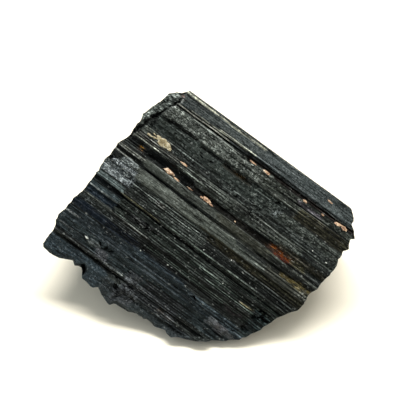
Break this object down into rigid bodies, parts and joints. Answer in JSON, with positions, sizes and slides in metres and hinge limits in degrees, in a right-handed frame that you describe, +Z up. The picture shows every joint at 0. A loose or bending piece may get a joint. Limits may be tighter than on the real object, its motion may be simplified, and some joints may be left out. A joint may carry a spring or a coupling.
{
  "type": "tourmaline crystal",
  "caption": "Broken length of one large striated black tourmaline crystal, resting on its rough underside with its widest ribbed side leaning back.",
  "frame": {"origin": "centre of the bounding box's base, on the ground the stone rests on", "axes": "+X to the viewer's right, along the longest extent; +Y away from the viewer; +Z up"},
  "size_m": [0.077, 0.0602, 0.0396],
  "materials": {
    "tourmaline": "dull glassy black mineral, striated, granular on the breaks"
  },
  "bodies": {
    "root": {"tourmaline": "tourmaline"}
  },
  "joints": []
}
